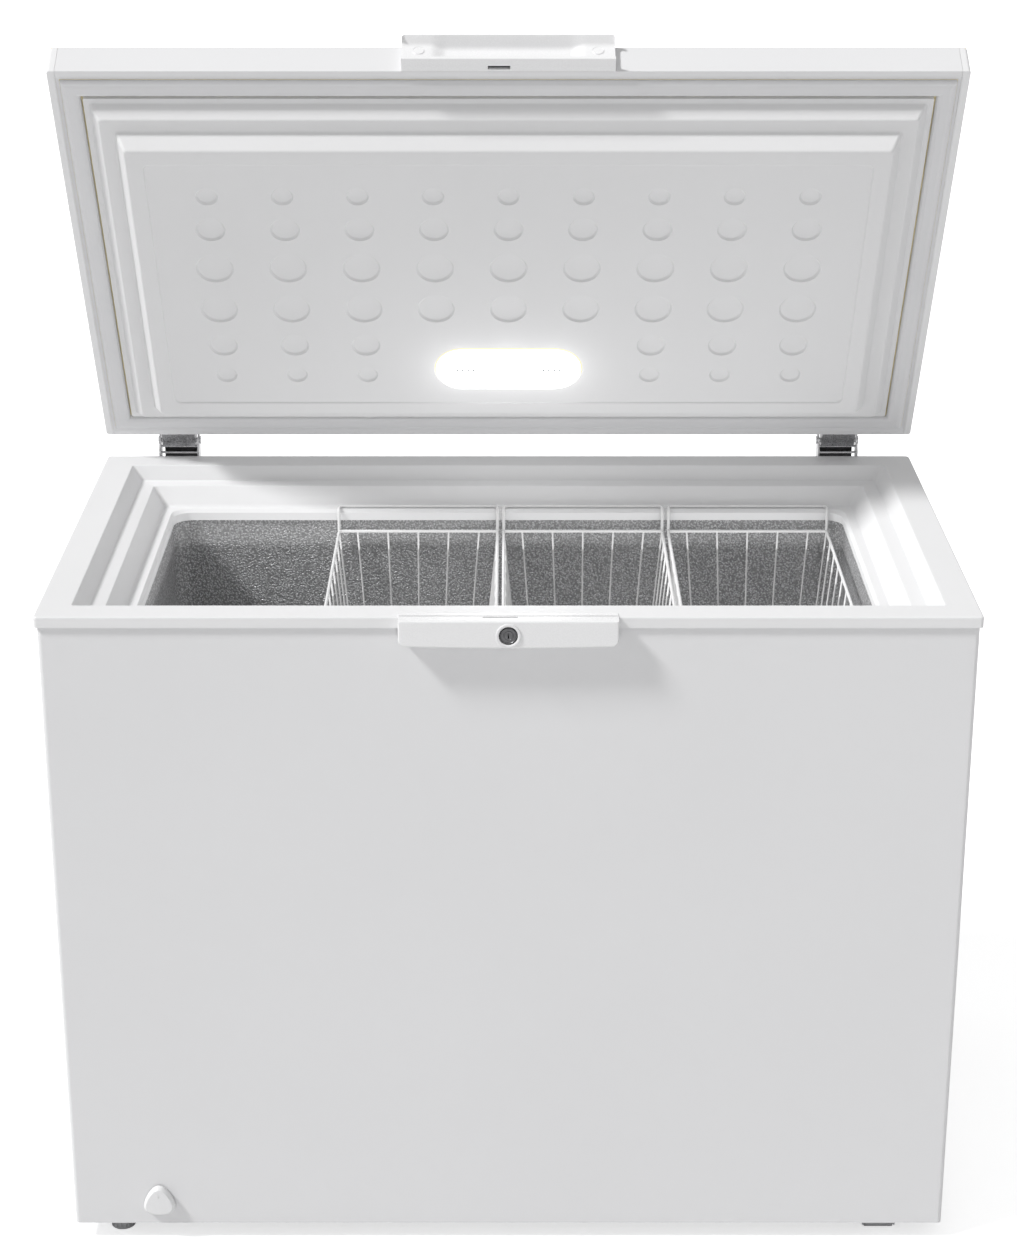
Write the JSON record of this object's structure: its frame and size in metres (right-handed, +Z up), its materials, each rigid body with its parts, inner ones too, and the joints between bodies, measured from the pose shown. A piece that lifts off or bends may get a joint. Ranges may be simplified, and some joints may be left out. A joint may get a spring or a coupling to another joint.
{
  "type": "chest freezer",
  "caption": "Free-standing chest freezer with a hinged, lamp-lit lid, wire baskets on the rim ledge, lock, drain dial, levelling feet and rollers.",
  "frame": {"origin": "on the floor, under the middle of the freezer's box with the lid standing open", "axes": "+X to the right of a person who faces the freezer, +Y from front to back, +Z up"},
  "size_m": [1.006, 0.631, 1.3321],
  "materials": {
    "shell_paint": "satin white coated steel",
    "galvanised": "zinc-plated sheet",
    "white_plastic": "satin white moulded plastic",
    "lid_liner_plastic": "satin thermoformed plastic",
    "handle_plastic": "semi-gloss white plastic",
    "stucco_aluminium": "stucco-embossed sheet",
    "foam": "rigid insulating foam",
    "gasket_rubber": "soft grey-white vinyl",
    "black_rubber": "black rubber",
    "zinc_bright": "bright zinc plating",
    "hinge_dark": "zinc-plated pressed steel",
    "compressor_black": "black enamel",
    "copper": "drawn copper tube",
    "grey_plastic": "grey moulded plastic",
    "black_plastic": "black moulded plastic",
    "wire_coating": "white coated wire",
    "lamp_diffuser": "opal diffuser, lit",
    "circuit_board": "white circuit board",
    "lock_steel": "nickel-plated lock core"
  },
  "bodies": {
    "cabinet": {"outer_wrapper": "shell_paint", "back_panel": "galvanised", "base_pan": "galvanised", "inner_liner": "stucco_aluminium", "rim_collar": "white_plastic", "cabinet_foam": "foam", "evaporator_coil": "stucco_aluminium", "condenser_coil": "galvanised", "compressor": "compressor_black", "compressor_grommets": "black_rubber", "compressor_bolts": "zinc_bright", "terminal_cover": "black_plastic", "suction_tube": "copper", "discharge_tube": "copper", "filter_drier": "copper", "capillary_tube": "copper", "rear_cover": "galvanised", "mains_inlet": "black_plastic", "thermostat": "grey_plastic", "vent_grille": "white_plastic", "drain_sleeve": "white_plastic", "drain_hose": "white_plastic", "foot_sockets": "galvanised", "roller_brackets": "galvanised", "roller_axles": "zinc_bright", "lock_housing": "handle_plastic", "lock_barrel": "handle_plastic", "hinge_bracket_left": "zinc_bright", "hinge_bracket_right": "zinc_bright", "hinge_pins": "zinc_bright", "hinge_springs": "hinge_dark", "cabinet_screws": "zinc_bright"},
    "thermostat_knob": {"thermostat_knob": "grey_plastic"},
    "drain_turn_ring": {"drain_turn_ring": "white_plastic"},
    "drain_dial": {"drain_dial": "white_plastic", "drain_spout": "white_plastic"},
    "drain_stopper": {"drain_stopper": "white_plastic"},
    "levelling_foot_front": {"levelling_foot_front": "grey_plastic"},
    "levelling_foot_rear": {"levelling_foot_rear": "grey_plastic"},
    "roller_front": {"roller_front": "grey_plastic"},
    "roller_rear": {"roller_rear": "grey_plastic"},
    "lock": {"lock_plug": "lock_steel", "lock_cam": "zinc_bright"},
    "lid": {"lid_panel": "shell_paint", "lid_end_trim_left": "handle_plastic", "lid_end_trim_right": "handle_plastic", "lid_liner": "lid_liner_plastic", "lid_foam": "foam", "lid_gasket": "gasket_rubber", "lamp_housing": "white_plastic", "lamp_board": "circuit_board", "lamp_lens": "lamp_diffuser", "lid_handle": "handle_plastic", "handle_caps": "handle_plastic", "hinge_arm_left": "hinge_dark", "hinge_arm_right": "hinge_dark", "lid_screws": "zinc_bright"},
    "basket_left": {"basket_left": "wire_coating"},
    "basket_middle": {"basket_middle": "wire_coating"},
    "basket_right": {"basket_right": "wire_coating"}
  },
  "joints": [
    {"name": "lid_hinge", "type": "hinge", "parent": "cabinet", "child": "lid", "pos_m": [0, 0.29802, 0.7863], "axis": [-1, 0, 0], "range_deg": [-60, 20]},
    {"name": "lock_turn", "type": "hinge", "parent": "cabinet", "child": "lock", "pos_m": [0, -0.30218, 0.7555], "axis": [0, 1, 0], "range_deg": [0, 90]},
    {"name": "basket_left_slide", "type": "slide", "parent": "cabinet", "child": "basket_left", "axis": [-1, 0, 0], "range_m": [0, 0.185]},
    {"name": "basket_middle_lift", "type": "slide", "parent": "cabinet", "child": "basket_middle", "axis": [0, 0, 1], "range_m": [0, 0.1]},
    {"name": "basket_right_lift", "type": "slide", "parent": "cabinet", "child": "basket_right", "axis": [0, 0, 1], "range_m": [0, 0.1]},
    {"name": "thermostat_turn", "type": "hinge", "parent": "cabinet", "child": "thermostat_knob", "pos_m": [0.305, 0.27853, 0.235], "axis": [0, 1, 0], "range_deg": [0, 300]},
    {"name": "drain_turn", "type": "hinge", "parent": "cabinet", "child": "drain_turn_ring", "pos_m": [-0.4015, -0.27398, 0.052], "axis": [0, 1, 0], "range_deg": [0, 180]},
    {"name": "drain_pull", "type": "slide", "parent": "drain_turn_ring", "child": "drain_dial", "axis": [0, -1, 0], "range_m": [0, 0.02]},
    {"name": "drain_stopper_lift", "type": "slide", "parent": "cabinet", "child": "drain_stopper", "axis": [0, 0, 1], "range_m": [0, 0.05]},
    {"name": "roller_front_spin", "type": "hinge", "parent": "cabinet", "child": "roller_front", "pos_m": [0.431, -0.26398, 0.01], "axis": [1, 0, 0], "continuous": true},
    {"name": "roller_rear_spin", "type": "hinge", "parent": "cabinet", "child": "roller_rear", "pos_m": [0.431, 0.24852, 0.01], "axis": [1, 0, 0], "continuous": true},
    {"name": "foot_front_turn", "type": "hinge", "parent": "cabinet", "child": "levelling_foot_front", "pos_m": [-0.45, -0.25998, 0], "axis": [0, 0, 1], "continuous": true},
    {"name": "foot_rear_turn", "type": "hinge", "parent": "cabinet", "child": "levelling_foot_rear", "pos_m": [-0.45, 0.24452, 0], "axis": [0, 0, 1], "continuous": true}
  ]
}
